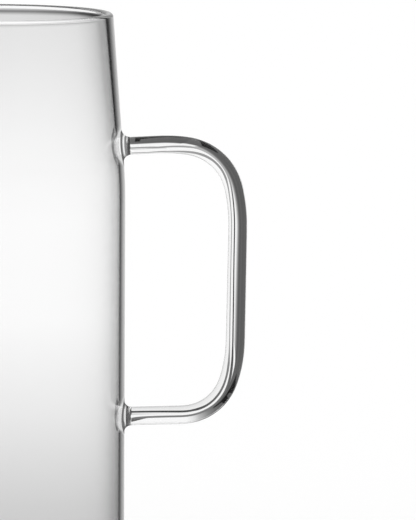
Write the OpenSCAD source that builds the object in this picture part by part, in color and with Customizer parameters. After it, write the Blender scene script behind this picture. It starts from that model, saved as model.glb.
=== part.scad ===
// A clear glass pitcher: a thin walled vessel with a rounded heel, a slightly drawn in neck and a
// pulled pouring lip, and a bent glass rod handle that is melted on through two collars of glass.
// Lengths are in millimetres. The origin is the middle of the foot, Z points up, the handle is on +X.

/* [Vessel] */
// Outside diameter of the straight barrel
body_d = 110; // [90:1:130]
// Height from the foot to the top of the rim
body_h = 240; // [215:1:300]
// How far the neck draws in on each side, from the barrel to the rim
neck_draw = 4.5; // [2:0.1:9]
// Height of the drawn in neck, from the shoulder line up to the rim
neck_h = 68; // [40:1:90]
// Radius that softens the shoulder, where the barrel meets the neck
shoulder_r = 170; // [80:10:300]
// Thickness of the barrel wall
wall = 2.1; // [1.5:0.1:3.2]
// Thickness of the fire polished rim
rim_wall = 3.1; // [2.2:0.1:3.8]
// Thickness of the bottom
base_t = 3.6; // [2.5:0.1:6]
// Outside radius of the heel, between the foot and the barrel
heel_r = 9; // [6:0.5:14]

/* [Pouring lip] */
// How far the lip stands out past the round of the mouth
lip_reach = 9; // [5:0.5:13]
// Radius of the lip, seen from above
lip_r = 18; // [14:0.5:22]
// Height over which the lip is pulled out of the neck
lip_h = 38; // [28:1:46]

/* [Handle] */
// Diameter of the glass rod
rod_d = 7.4; // [6:0.1:9]
// Clear gap between the barrel and the grip, for the fingers
finger_gap = 41.6; // [36:0.2:55]
// Depth of the upper collar's centre below the rim
upper_drop = 52.7; // [40:0.1:62]
// Height between the centres of the two collars
handle_h = 108.1; // [100:0.1:125]
// Angle at which the upper arm climbs away from the vessel
arm_rise = 2.8; // [0:0.1:5]

/* [Handle bends] */
// Radius of the slow curve that ends the upper arm
top_ease_r = 60.5; // [40:0.5:75]
// Angle of the slow curve that ends the upper arm, in degrees
top_ease_angle = 11.3; // [6:0.1:14]
// Radius of the top corner
top_bend_r = 21.6; // [15:0.2:24]
// Angle of the top corner, in degrees
top_bend_angle = 69.7; // [64:0.1:72]
// Radius of the slow curve that starts the grip
top_settle_r = 74.6; // [50:0.2:90]
// Angle of the slow curve that starts the grip, in degrees
top_settle_angle = 13.3; // [8:0.1:16]
// Radius of the slow curve that ends the grip
low_ease_r = 53.6; // [40:0.2:65]
// Angle of the slow curve that ends the grip, in degrees
low_ease_angle = 17.2; // [12:0.1:20]
// Radius of the bottom corner
low_bend_r = 19.4; // [14:0.2:22]
// Angle of the bottom corner, in degrees
low_bend_angle = 69.8; // [65:0.1:72]

/* [Collars] */
// Length of the upper collar, from the wall to where the rod starts
upper_collar_l = 3.4; // [2.4:0.1:5]
// Length of the lower collar, from the wall to where the rod starts
lower_collar_l = 2.9; // [2.4:0.1:5]
// Radius of the upper collar where it lies on the wall
upper_collar_r = 6.9; // [5.5:0.1:8]
// Radius of the lower collar where it lies on the wall
lower_collar_r = 6.4; // [5.5:0.1:8]
// How far the wall is pushed in behind the upper collar
upper_dent = 1.6; // [0.5:0.1:2.2]
// How far the wall is pushed in behind the lower collar
lower_dent = 1; // [0.4:0.1:2]

/* [Hidden] */

glass_colour = [0.80, 0.90, 0.92, 0.55];
rod_colour = [0.62, 0.76, 0.80, 0.80];
collar_colour = [0.52, 0.66, 0.72, 0.90];

// How far cutters run past what they cut
overrun = 4;
// Steps in a rounded corner of an outline, and facets of a full circle
corner_steps = 10;
round_fn = 256;

body_r = body_d / 2;
mouth_r = body_r - neck_draw;
rod_r = rod_d / 2;
shoulder_z = body_h - neck_h;
neck_angle = atan(neck_draw / neck_h);
heel_in_r = heel_r - wall;

// Outside radius of the neck at a height above the shoulder line
function neck_radius(z) = body_r - (z - shoulder_z) * tan(neck_angle);
// Outside radius of the vessel at any height above the heel
function wall_radius(z) = z < shoulder_z ? body_r : neck_radius(z);
// Wall thickness of the neck, which grows evenly from the barrel to the rim
function neck_wall(z) = wall + (rim_wall - wall) * (z - shoulder_z) / neck_h;

// Points of an arc in an outline, from angle a to angle b round a centre
function arc(centre, r, a, b) =
    [for (i = [0 : corner_steps]) centre + r * [cos(a + (b - a) * i / corner_steps),
                                                sin(a + (b - a) * i / corner_steps)]];

// The soft bend of the shoulder, for the outer wall or, moved in by the wall, for the inner one
function shoulder_arc(r_wall, r_bend) =
    arc([r_wall - r_bend, shoulder_z - r_bend * tan(neck_angle / 2)], r_bend, 0, neck_angle);

// The rim is a half round, as thick as the rim wall
rim_centre = [mouth_r - rim_wall / 2, body_h - rim_wall / 2];

outer_outline = concat(
    [[0, 0]],
    arc([body_r - heel_r, heel_r], heel_r, -90, 0),
    shoulder_arc(body_r, shoulder_r),
    arc(rim_centre, rim_wall / 2, neck_angle, 90),
    [[0, body_h]]);

inner_outline = concat(
    [[0, base_t]],
    arc([body_r - heel_r, base_t + heel_in_r], heel_in_r, -90, 0),
    shoulder_arc(body_r - wall, shoulder_r - wall),
    arc(rim_centre, rim_wall / 2, 180 - neck_angle, 90),
    [[rim_centre[0], body_h + overrun], [0, body_h + overrun]]);

// The lip is a flared round, centred just inside the mouth, whose radius grows with the square of the height
lip_x = mouth_r + lip_reach - lip_r;
lip_foot_z = body_h - lip_h;
lip_foot_r = neck_radius(lip_foot_z) - neck_wall(lip_foot_z) / 2 - lip_x;
lip_steps = 8;
function lip_radius(share) = lip_foot_r + (lip_r - lip_foot_r) * pow(share, 2);
function lip_height(share) = lip_foot_z + lip_h * share;

lip_outer_outline = concat(
    [[0, lip_foot_z]],
    [for (i = [0 : lip_steps]) [lip_radius(i / lip_steps), lip_height(i / lip_steps)]],
    [[0, body_h]]);

lip_inner_outline = concat(
    [[0, lip_foot_z]],
    [for (i = [0 : lip_steps]) [lip_radius(i / lip_steps) - neck_wall(lip_height(i / lip_steps)),
                                lip_height(i / lip_steps)]],
    [[lip_r - rim_wall, body_h + overrun], [0, body_h + overrun]]);

// The handle's centre line lies in the XZ plane. It starts and ends where the collars end.
upper_z = body_h - upper_drop;
lower_z = upper_z - handle_h;
upper_start = [wall_radius(upper_z) + upper_collar_l, upper_z];
lower_end = [wall_radius(lower_z) + lower_collar_l, lower_z];

// Bends of the centre line, each a radius and an angle
top_bends = [[top_ease_r, top_ease_angle], [top_bend_r, top_bend_angle], [top_settle_r, top_settle_angle]];
low_bends = [[low_ease_r, low_ease_angle], [low_bend_r, low_bend_angle]];

function direction(a) = [cos(a), sin(a)];
// Move along one bend to the right, that starts with heading a
function bend_move(a, r, turn) = r * [sin(a) - sin(a - turn), cos(a - turn) - cos(a)];
// Heading after the first n bends of a list
function heading(a, bends, n) = n == 0 ? a : heading(a, bends, n - 1) - bends[n - 1][1];
// Move along the first n bends of a list
function bends_move(a, bends, n) = n == 0 ? [0, 0]
    : bends_move(a, bends, n - 1) + bend_move(heading(a, bends, n - 1), bends[n - 1][0], bends[n - 1][1]);

grip_heading = heading(arm_rise, top_bends, len(top_bends));
end_heading = heading(grip_heading, low_bends, len(low_bends));
top_move = bends_move(arm_rise, top_bends, len(top_bends));
low_move = bends_move(grip_heading, low_bends, len(low_bends));

// Straight length of the upper arm, which puts the grip at its distance from the barrel
grip_x = body_r + finger_gap + rod_r;
upper_arm_l = (grip_x - upper_start[0] - top_move[0]) / cos(arm_rise);
grip_start = upper_start + upper_arm_l * direction(arm_rise) + top_move;

// Straight lengths of the grip and of the lower arm, which close the handle on the lower collar
remaining = lower_end - grip_start - low_move;
grip_dir = direction(grip_heading);
lower_dir = direction(end_heading);
cross_dirs = grip_dir[0] * lower_dir[1] - grip_dir[1] * lower_dir[0];
grip_l = (remaining[0] * lower_dir[1] - remaining[1] * lower_dir[0]) / cross_dirs;
lower_arm_l = (grip_dir[0] * remaining[1] - grip_dir[1] * remaining[0]) / cross_dirs;

// The rod is swept along the centre line, with one ring of points for each small angle of a bend
ring_angle = 4.5;
rod_sides = 32;
function turn_steps(turn) = max(1, round(turn / ring_angle));
// Places along a list of bends, each [x, z, heading], without the first
function bend_places(from, bends) = [
    for (n = [0 : len(bends) - 1])
        let (a = heading(from[2], bends, n),
             start = [from[0], from[1]] + bends_move(from[2], bends, n),
             count = turn_steps(bends[n][1]))
        for (i = [1 : count])
            let (turn = bends[n][1] * i / count, move = bend_move(a, bends[n][0], turn))
            [start[0] + move[0], start[1] + move[1], a - turn]];

grip_end = grip_start + grip_l * grip_dir;
arm_end = upper_start + upper_arm_l * direction(arm_rise);
rod_places = concat(
    [[upper_start[0], upper_start[1], arm_rise], [arm_end[0], arm_end[1], arm_rise]],
    bend_places([arm_end[0], arm_end[1], arm_rise], top_bends),
    [[grip_end[0], grip_end[1], grip_heading]],
    bend_places([grip_end[0], grip_end[1], grip_heading], low_bends),
    [[lower_end[0], lower_end[1], end_heading]]);

// The ring of points round one place: it stands square to the heading
function rod_ring(place) = [
    for (k = [0 : rod_sides - 1])
        let (up = rod_r * cos(360 * k / rod_sides), side = rod_r * sin(360 * k / rod_sides))
        [place[0] - up * sin(place[2]), side, place[1] + up * cos(place[2])]];

module rod_sweep(places) {
    points = [for (place = places) each rod_ring(place)];
    last = len(places) - 1;
    walls = [for (j = [0 : last - 1], k = [0 : rod_sides - 1])
        let (a = j * rod_sides + k, b = j * rod_sides + (k + 1) % rod_sides)
        each [[a, b, b + rod_sides], [a, b + rod_sides, a + rod_sides]]];
    first_cap = [[for (k = [rod_sides - 1 : -1 : 0]) k]];
    last_cap = [[for (k = [0 : rod_sides - 1]) last * rod_sides + k]];
    polyhedron(points, concat(walls, first_cap, last_cap));
}

module vessel_outside() {
    rotate_extrude($fn = round_fn) polygon(outer_outline);
    translate([-lip_x, 0, 0]) rotate_extrude($fn = round_fn) polygon(lip_outer_outline);
}

// The rounded push that the hot rod leaves on the inner wall behind a collar
module dent(z, depth, r) {
    ball_r = (pow(r, 2) + pow(depth, 2)) / (2 * depth);
    translate([wall_radius(z) - wall - depth + ball_r, 0, z]) sphere(r = ball_r, $fn = round_fn);
}

module vessel() {
    color(glass_colour)
        difference() {
            vessel_outside();
            difference() {
                union() {
                    rotate_extrude($fn = round_fn) polygon(inner_outline);
                    translate([-lip_x, 0, 0]) rotate_extrude($fn = round_fn) polygon(lip_inner_outline);
                }
                dent(upper_z, upper_dent, upper_collar_r);
                dent(lower_z, lower_dent, lower_collar_r);
            }
        }
}

module handle() {
    color(rod_colour) rod_sweep(rod_places);
}

// A collar is a fillet of revolution round the rod's own line, cut to the round of the wall
module collar(start, back_angle, collar_l, collar_r) {
    flare = [for (i = [0 : corner_steps]) [collar_r - (collar_r - rod_r) * cos(90 * i / corner_steps),
                                           collar_l * sin(90 * i / corner_steps)]];
    outline = concat([[0, 0]], flare, [[collar_r, collar_l + wall], [0, collar_l + wall]]);
    color(collar_colour)
        difference() {
            translate([start[0], 0, start[1]])
                rotate([0, back_angle, 0])
                    rotate_extrude($fn = round_fn) polygon(outline);
            vessel_outside();
        }
}

module upper_collar() {
    collar(upper_start, -90 - arm_rise, upper_collar_l, upper_collar_r);
}

module lower_collar() {
    collar(lower_end, 90 - end_heading, lower_collar_l, lower_collar_r);
}

vessel();
handle();
upper_collar();
lower_collar();
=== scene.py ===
"""A clear glass pitcher: one blown vessel and a bent glass rod handle, melted on through two collars.

Every piece is one grid of points worked out with numpy, in metres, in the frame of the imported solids.
The origin is the middle of the foot, Z points up and the handle is on +X. Each piece is closed. Where two
pieces are melted together, the faces between them have a clear material, so light passes from glass to
glass without a bend.
"""
import math

import bpy
import numpy as np
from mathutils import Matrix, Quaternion, Vector


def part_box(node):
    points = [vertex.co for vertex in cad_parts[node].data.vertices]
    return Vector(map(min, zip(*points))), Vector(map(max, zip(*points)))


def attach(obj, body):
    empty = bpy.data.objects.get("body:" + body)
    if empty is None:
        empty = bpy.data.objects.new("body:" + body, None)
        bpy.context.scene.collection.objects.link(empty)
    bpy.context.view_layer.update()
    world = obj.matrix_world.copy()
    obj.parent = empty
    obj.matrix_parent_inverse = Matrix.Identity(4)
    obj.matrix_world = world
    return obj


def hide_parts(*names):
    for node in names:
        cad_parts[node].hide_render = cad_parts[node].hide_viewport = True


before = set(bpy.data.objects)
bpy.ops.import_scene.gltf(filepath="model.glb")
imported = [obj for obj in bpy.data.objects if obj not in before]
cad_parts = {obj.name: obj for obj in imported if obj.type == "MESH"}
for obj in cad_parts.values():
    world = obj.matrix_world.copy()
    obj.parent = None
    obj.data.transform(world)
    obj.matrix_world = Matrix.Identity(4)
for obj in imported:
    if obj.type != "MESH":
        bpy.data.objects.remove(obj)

bl_info = {
    "name": "Glass pitcher",
    "version": (1, 0, 0),
    "blender": (4, 5, 0),
    "location": "3D View > Sidebar > Pitcher",
    "description": "Builds a clear glass pitcher with a melted on rod handle, and a pale studio for it",
    "category": "Add Mesh",
}

MM = 0.001
TURN = 2 * math.pi
SIDEWAYS = np.array([0.0, 1.0, 0.0])

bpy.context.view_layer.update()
VESSEL_LOW, VESSEL_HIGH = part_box("vessel")


# Sizes and colours

def length(name, description, default):
    """A length in metres, as a user of the panel sees it."""
    return bpy.props.FloatProperty(name=name, description=description, default=default, min=0,
                                   subtype="DISTANCE", unit="LENGTH", precision=5)


def angle(name, description, degrees):
    """An angle, given in degrees and kept in radians."""
    return bpy.props.FloatProperty(name=name, description=description, default=math.radians(degrees),
                                   subtype="ANGLE", unit="ROTATION")


def share(name, description, default):
    """A plain number between nothing and one."""
    return bpy.props.FloatProperty(name=name, description=description, default=default, min=0, max=1,
                                   subtype="FACTOR")


class PITCHER_PG_vessel(bpy.types.PropertyGroup):
    """Sizes of the blown vessel."""
    radius: length("Barrel radius", "Outside radius of the straight barrel", VESSEL_HIGH[0])
    height: length("Height", "From the foot to the top of the rim", VESSEL_HIGH[2])
    neck_draw: length("Neck draw", "How far the neck draws in on each side", 5.0 * MM)
    neck_height: length("Neck height", "From the shoulder line up to the rim", 68 * MM)
    shoulder_radius: length("Shoulder radius", "Radius that softens the shoulder", 170 * MM)
    heel_radius: length("Heel radius", "Outside radius between the foot and the barrel", 9 * MM)
    wall: length("Wall", "Thickness of the barrel wall", 2.1 * MM)
    rim_wall: length("Rim wall", "Thickness of the fire polished rim", 3.1 * MM)
    base: length("Bottom", "Thickness of the bottom", 3.6 * MM)
    kick: length("Foot hollow", "How far the middle of the foot is pushed up", 0.6 * MM)
    lip_reach: length("Lip reach", "How far the pouring lip stands out past the round of the mouth",
                      -VESSEL_LOW[0] - (VESSEL_HIGH[0] - 4.5 * MM))
    lip_height: length("Lip height", "Height over which the lip is pulled out of the neck", 38 * MM)
    lip_width: angle("Lip width", "Half width of the lip, as a turn round the vessel", 15)
    lip_drop: length("Lip drop", "How far the rim dips at the tip of the lip", 2.4 * MM)
    lip_pinch: length("Lip pinch", "How far the wall draws in on each side of the lip", 1.0 * MM)


class PITCHER_PG_handle(bpy.types.PropertyGroup):
    """Sizes of the bent rod."""
    reach: length("Grip reach", "From the vessel's axis to the rod's line in the grip", 99.75 * MM)
    start_radius: length("Radius at the top", "Radius of the rod where it leaves the upper collar", 3.53 * MM)
    grip_radius: length("Radius at the grip", "Radius of the rod in the middle of the grip", 3.80 * MM)
    end_radius: length("Radius at the bottom", "Radius of the rod at the lower collar", 3.69 * MM)
    rise: angle("Arm rise", "Angle at which the upper arm climbs away from the vessel", 2.8)
    top_ease_radius: length("Upper ease radius", "Slow curve that ends the upper arm", 60.5 * MM)
    top_ease_turn: angle("Upper ease turn", "Turn of the slow curve that ends the upper arm", 11.3)
    top_bend_radius: length("Top bend radius", "Radius of the top corner", 21.6 * MM)
    top_bend_turn: angle("Top bend turn", "Turn of the top corner", 69.7)
    top_settle_radius: length("Upper settle radius", "Slow curve that starts the grip", 74.6 * MM)
    top_settle_turn: angle("Upper settle turn", "Turn of the slow curve that starts the grip", 12.7)
    low_ease_radius: length("Lower ease radius", "Slow curve that ends the grip", 53.6 * MM)
    low_ease_turn: angle("Lower ease turn", "Turn of the slow curve that ends the grip", 17.8)
    low_bend_radius: length("Bottom bend radius", "Radius of the bottom corner", 19.4 * MM)
    low_bend_turn: angle("Bottom bend turn", "Turn of the bottom corner", 69.8)
    softening: length("Softening", "Length over which one bend runs into the next", 2.2 * MM)


class PITCHER_PG_collars(bpy.types.PropertyGroup):
    """Sizes of the two gathers of glass that hold the rod."""
    upper_height: length("Upper height", "Height of the upper collar's centre", 187.0 * MM)
    lower_height: length("Lower height", "Height of the lower collar's centre", 78.7 * MM)
    upper_length: length("Upper length", "From the wall to where the rod starts", 3.4 * MM)
    lower_length: length("Lower length", "From the wall to where the rod starts", 2.9 * MM)
    upper_foot: length("Upper foot", "Radius of the upper collar on the wall", 6.5 * MM)
    lower_foot: length("Lower foot", "Radius of the lower collar on the wall", 6.1 * MM)
    upper_sag: length("Upper sag", "How far the upper foot reaches higher than it reaches low", 0.5 * MM)
    lower_sag: length("Lower sag", "How far the lower foot reaches higher than it reaches low", 0.1 * MM)
    upper_dent: length("Upper dent", "Push of the inner wall behind the upper collar", 1.6 * MM)
    lower_dent: length("Lower dent", "Push of the inner wall behind the lower collar", 1.1 * MM)
    dent_radius: length("Dent radius", "Radius of the push of the inner wall", 8.2 * MM)


class PITCHER_PG_glass(bpy.types.PropertyGroup):
    """The glass."""
    tint: bpy.props.FloatVectorProperty(name="Tint", description="Colour that light takes on at each face",
                                        default=(0.996, 0.996, 0.996), min=0, max=1, size=3,
                                        subtype="COLOR")
    ior: bpy.props.FloatProperty(name="Index", description="Index of refraction of the glass",
                                 default=1.473, min=1, max=2)
    wave: share("Waves", "Depth of the drawn waves in the surface", 0.05)
    haze: share("Haze", "Roughness of the faint haze left by handling", 0.012)


class PITCHER_PG_stage(bpy.types.PropertyGroup):
    """The camera and the studio."""
    distance: length("Camera distance", "From the plane of the handle to the camera", 3.0)
    camera_height: length("Camera height", "Height of the camera over the floor", 0.45)
    camera_side: bpy.props.FloatProperty(name="Camera side", description="Place of the camera along X",
                                         default=0.0, subtype="DISTANCE", unit="LENGTH")
    aim_x: length("Aim X", "Where the camera looks, along X", 0.08804)
    aim_z: length("Aim Z", "Where the camera looks, in height", 0.14136)
    roll: angle("Camera roll", "Turn of the camera about its line of sight", 0.30)
    frame_height: length("Frame height", "Height of the picture in the plane of the handle", 0.20725)


# Paths, grids and meshes

class Chain:
    """A path of straights and round bends that join without a corner.

    Each move is a length and the turn to the left over it. The chord from a move's start to a place on it
    is along * sinc(turned / 2), and it points half way between the headings at its two ends, so one
    formula serves a straight and a bend.
    """

    def __init__(self, start, heading, moves):
        self.lengths, self.turns = np.array(moves, float).T
        self.ends = np.concatenate([[0], np.cumsum(self.lengths)])
        self.headings = heading + np.concatenate([[0], np.cumsum(self.turns)])
        chords = self.lengths * np.sinc(self.turns / TURN)
        middles = self.headings[:-1] + self.turns / 2
        self.x = start[0] + np.concatenate([[0], np.cumsum(chords * np.cos(middles))])
        self.y = start[1] + np.concatenate([[0], np.cumsum(chords * np.sin(middles))])

    def at(self, distance):
        """The two coordinates and the heading at a distance along the path."""
        move = np.clip(np.searchsorted(self.ends, distance, side="right") - 1, 0, len(self.lengths) - 1)
        along = distance - self.ends[move]
        turned = self.turns[move] * along / self.lengths[move]
        chord = along * np.sinc(turned / TURN)
        middle = self.headings[move] + turned / 2
        return (self.x[move] + chord * np.cos(middle), self.y[move] + chord * np.sin(middle),
                self.headings[move] + turned)


def graded(start, end, fine_start, fine_end, coarse, growth=0.16):
    """Places from start to end whose spacing grows from a fine one at each end to a coarse one.

    The wanted spacing is the least of coarse and of each fine one plus growth times the distance from its
    end. Adding up one over the spacing counts the steps, and the places are read off that count evenly.
    """
    probe = np.linspace(start, end, 4001)
    spacing = np.minimum(coarse, np.minimum(fine_start + growth * (probe - start),
                                            fine_end + growth * (end - probe)))
    steps = np.concatenate([[0], np.cumsum((1 / spacing[1:] + 1 / spacing[:-1]) / 2 * np.diff(probe))])
    count = max(1, round(steps[-1]))
    return np.interp(np.linspace(0, steps[-1], count + 1), steps, probe)


def joined(*runs):
    """Runs of places one after another, with the place that two of them share kept once."""
    return np.concatenate([runs[0]] + [run[1:] for run in runs[1:]])


def smooth(value):
    """Three value squared less two value cubed, between nothing and one."""
    value = np.clip(value, 0, 1)
    return value * value * (3 - 2 * value)


def slopes(surface, first, second, step_first=1e-5, step_second=2e-6):
    """The unit normal of a surface of two parameters: the cross product of its two central differences."""
    across = surface(first + step_first, second) - surface(first - step_first, second)
    along = surface(first, second + step_second) - surface(first, second - step_second)
    normal = np.cross(across, along)
    return normal / np.linalg.norm(normal, axis=-1, keepdims=True)


def grid_mesh(name, points, normals, clear, materials):
    """A closed mesh from rows of points that each run once round, between one point at each end.

    The first and the last row are poles, so only their first point is used. Face (i, j) joins rows i and
    i + 1 between columns j and j + 1, and clear says which faces take the second material. The columns
    are turned round where the faces would look against the points' normals. The normals go in as they
    are, so two pieces that meet are shaded as one surface.
    """
    rows, columns = points.shape[:2]
    middle = slice(1, rows - 2)
    facing_out = np.cross(points[middle, 1:] - points[middle, :-1],
                          points[2:rows - 1, :-1] - points[middle, :-1])
    if (facing_out * normals[middle, :-1]).sum() < 0:
        points, normals = points[:, ::-1], normals[:, ::-1]
        clear = np.roll(clear[:, ::-1], -1, axis=1)
    places = np.concatenate([points[0, :1], points[1:-1].reshape(-1, 3), points[-1, :1]])
    facing = np.concatenate([normals[0, :1], normals[1:-1].reshape(-1, 3), normals[-1, :1]])
    number = 1 + np.arange((rows - 2) * columns).reshape(rows - 2, columns)
    beside = np.roll(number, -1, axis=1)
    quads = np.stack([number[:-1], beside[:-1], beside[1:], number[1:]], axis=-1).reshape(-1, 4)
    last = len(places) - 1
    first_fan = np.stack([np.zeros(columns, int), beside[0], number[0]], axis=-1)
    last_fan = np.stack([np.full(columns, last), number[-1], beside[-1]], axis=-1)
    corners = np.concatenate([first_fan.ravel(), quads.ravel(), last_fan.ravel()])
    sizes = np.concatenate([np.full(columns, 3), np.full(len(quads), 4), np.full(columns, 3)])

    mesh = bpy.data.meshes.new(name)
    mesh.vertices.add(len(places))
    mesh.vertices.foreach_set("co", places.ravel())
    mesh.loops.add(len(corners))
    mesh.loops.foreach_set("vertex_index", corners)
    mesh.polygons.add(len(sizes))
    mesh.polygons.foreach_set("loop_start", np.concatenate([[0], np.cumsum(sizes)[:-1]]))
    mesh.polygons.foreach_set("material_index", clear.reshape(-1).astype(int))
    mesh.update(calc_edges=True)
    if mesh.validate():
        raise RuntimeError(name + " has faces that don't make a mesh")
    mesh.polygons.foreach_set("use_smooth", np.ones(len(sizes), bool))
    mesh.normals_split_custom_set_from_vertices(facing)
    for material in materials:
        mesh.materials.append(material)
    piece = bpy.data.objects.new(name, mesh)
    bpy.context.scene.collection.objects.link(piece)
    return piece


# The vessel's wall and the handle's line, which the pieces share

# Powers of the height share with which the lip is pushed out, pinched and dropped, and where the pinch lies
# beside the lip and how wide it is, as shares of the lip's width
LIP_PUSH, LIP_PINCH, LIP_DROP = 2.2, 2, 3
PINCH_PLACE, PINCH_WIDTH = 2.2, 0.9
# Points along the rod's line, the shares of its length where its radius is given, and how much more than
# the ends or less than the grip it is at those between
LINE_POINTS = 1601
ROD_SHARES = np.array([0, 0.2, 0.35, 0.5, 0.68, 0.84, 1])
ROD_SWELL, ROD_THIN = 0.04 * MM, 0.08 * MM


class Wall:
    """The vessel's two walls, each a chain from its middle at the bottom up to the top of the rim.

    The rim is a half round. Each neck line leaves its shoulder point at the one lean that touches the
    rim's circle: the angle to the circle's centre, plus or less the arcsine of radius over distance.
    """

    def __init__(self, size):
        self.size = size
        self.rim_radius = size.rim_wall / 2
        mouth = size.radius - size.neck_draw
        self.shoulder_z = size.height - size.neck_height
        centre = np.array([mouth - self.rim_radius, size.height - self.rim_radius])
        self.outer = self.chain(centre, size.radius, 0, size.heel_radius, size.shoulder_radius, 1)
        self.inner = self.chain(centre, size.radius - size.wall, size.base, size.heel_radius - size.wall,
                                size.shoulder_radius - size.wall, -1)

    def chain(self, rim_centre, radius, floor, heel, shoulder, side):
        """Floor, heel, barrel, shoulder, neck and a quarter of the rim, for the outer or inner side."""
        away = np.array([radius - rim_centre[0], rim_centre[1] - self.shoulder_z])
        distance = np.hypot(*away)
        lean = math.atan2(*away) - side * math.asin(self.rim_radius / distance)
        straight = math.sqrt(distance ** 2 - self.rim_radius ** 2)
        cut = shoulder * math.tan(lean / 2)
        quarter = side * math.pi / 2 - lean
        return Chain((0, floor), 0, [
            (radius - heel, 0), (heel * math.pi / 2, math.pi / 2),
            (self.shoulder_z - cut - heel - floor, 0), (shoulder * lean, lean),
            (straight - cut, 0), (self.rim_radius * abs(quarter), quarter)])

    def height_to_distance(self, z):
        """Distance along the outer chain at a height on the barrel or the neck."""
        chain = self.outer
        return np.where(z < chain.y[3], chain.ends[2] + z - chain.y[2],
                        chain.ends[4] + (z - chain.y[4]) / math.sin(chain.headings[4]))

    def radius_at(self, z):
        """Outside radius at a height on the barrel or the neck."""
        return self.outer.at(self.height_to_distance(z))[0]

    def surface(self, chain, dents):
        """The wall as a function of the turn round the vessel and the distance along a chain.

        The profile turns about Z. The lip is pushed out at minus X by its reach times a power of the
        height share times a bell in the turn, with a drop of the rim and a pinch beside it. The foot is
        lifted in the middle by its hollow times (1 - share squared) squared, and each dent moves the wall
        inward by its depth times (1 - share to the fourth) squared, for the share of the dent's radius.
        """
        size = self.size

        def point(around, distance):
            radius, z, _ = chain.at(distance)
            off_lip = np.abs(np.mod(around, TURN) - math.pi)
            height_share = np.clip(1 - (size.height - z) / size.lip_height, 0, None)
            bell = np.exp(-(off_lip / size.lip_width) ** 2)
            beside = np.exp(-((off_lip / size.lip_width - PINCH_PLACE) / PINCH_WIDTH) ** 2)
            flat = np.clip(radius / (size.radius - size.heel_radius), 0, 1)
            lifted = size.kick * (1 - flat ** 2) ** 2 * (z < 3 * size.base)
            pushed = (size.lip_reach * height_share ** LIP_PUSH * bell
                      - size.lip_pinch * height_share ** LIP_PINCH * beside)
            dropped = size.lip_drop * height_share ** LIP_DROP * bell
            for height, depth, reach in dents:
                away = ((np.mod(around + math.pi, TURN) - math.pi) * radius) ** 2 + (z - height) ** 2
                pushed = pushed - depth * np.clip(1 - (away / reach ** 2) ** 2, 0, 1) ** 2
            radius = radius + pushed
            return np.stack([radius * np.cos(around), radius * np.sin(around),
                             z + lifted - dropped], axis=-1)
        return point


class RodLine:
    """The handle's centre line in the XZ plane, with its ends on the two collars.

    The straight lengths are solved so that the grip stands where the CAD has it and the lower arm meets
    its collar. The heading is then smoothed by a bell, so one bend runs into the next, and the small
    error that this leaves at the end is shared out evenly over the length.
    """

    def __init__(self, size, collars, wall):
        upper_z, lower_z = collars.upper_height, collars.lower_height
        start = np.array([wall.radius_at(upper_z) + collars.upper_length, upper_z])
        end = np.array([wall.radius_at(lower_z) + collars.lower_length, lower_z])
        top = [(size.top_ease_radius, size.top_ease_turn), (size.top_bend_radius, size.top_bend_turn),
               (size.top_settle_radius, size.top_settle_turn)]
        low = [(size.low_ease_radius, size.low_ease_turn), (size.low_bend_radius, size.low_bend_turn)]
        top_moves, low_moves = ([(radius * turn, -turn) for radius, turn in bends] for bends in (top, low))
        top_bends = Chain((0, 0), size.rise, top_moves)
        low_bends = Chain((0, 0), top_bends.headings[-1], low_moves)
        arm = (size.reach - start[0] - top_bends.x[-1]) / math.cos(size.rise)
        grip_heading, end_heading = top_bends.headings[-1], low_bends.headings[-1]
        begun = start + arm * np.array([math.cos(size.rise), math.sin(size.rise)])
        left = end - begun - [top_bends.x[-1] + low_bends.x[-1], top_bends.y[-1] + low_bends.y[-1]]
        ways = np.array([[math.cos(grip_heading), math.cos(end_heading)],
                         [math.sin(grip_heading), math.sin(end_heading)]])
        grip, lower_arm = np.linalg.solve(ways, left)
        chain = Chain(start, size.rise, [(arm, 0)] + top_moves + [(grip, 0)] + low_moves + [(lower_arm, 0)])

        self.fine = np.linspace(0, chain.ends[-1], LINE_POINTS)
        step = self.fine[1]
        heading = chain.at(self.fine)[2]
        reach = int(3 * size.softening / step)
        bell = np.exp(-(np.arange(-reach, reach + 1) * step / size.softening) ** 2 / 2)
        self.heading = np.convolve(np.pad(heading, reach, mode="edge"), bell / bell.sum(), mode="valid")
        middle = (self.heading[1:] + self.heading[:-1]) / 2
        x = start[0] + np.concatenate([[0], np.cumsum(np.cos(middle))]) * step
        z = start[1] + np.concatenate([[0], np.cumsum(np.sin(middle))]) * step
        done = self.fine / self.fine[-1]
        self.x = x + (end[0] - x[-1]) * done
        self.z = z + (end[1] - z[-1]) * done
        self.radii = (self.fine[-1] * ROD_SHARES,
                      [size.start_radius, size.start_radius + ROD_SWELL, size.grip_radius - ROD_THIN,
                       size.grip_radius, size.grip_radius + ROD_SWELL, size.end_radius, size.end_radius])

    def ring(self, distance, around):
        """Points and normals of the rod: a circle square to the line, from straight up towards +Y."""
        heading = np.interp(distance, self.fine, self.heading)
        up = np.stack([-np.sin(heading), 0 * heading, np.cos(heading)], axis=-1)
        normal = np.cos(around)[..., None] * up + np.sin(around)[..., None] * SIDEWAYS
        centre = np.stack([np.interp(distance, self.fine, self.x), 0 * heading,
                           np.interp(distance, self.fine, self.z)], axis=-1)
        return centre + np.interp(distance, *self.radii)[..., None] * normal, normal


# Cells of the square patch of the outer wall that holds a collar, and those of its half that lie inside
# the collar's foot. The foot then has eight times the second number of points round it, as the rod has.
PATCH_CELLS = 44
FOOT_CELLS = 11
ROD_SIDES = 8 * FOOT_CELLS
PATCH_HALF = 11 * MM


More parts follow.
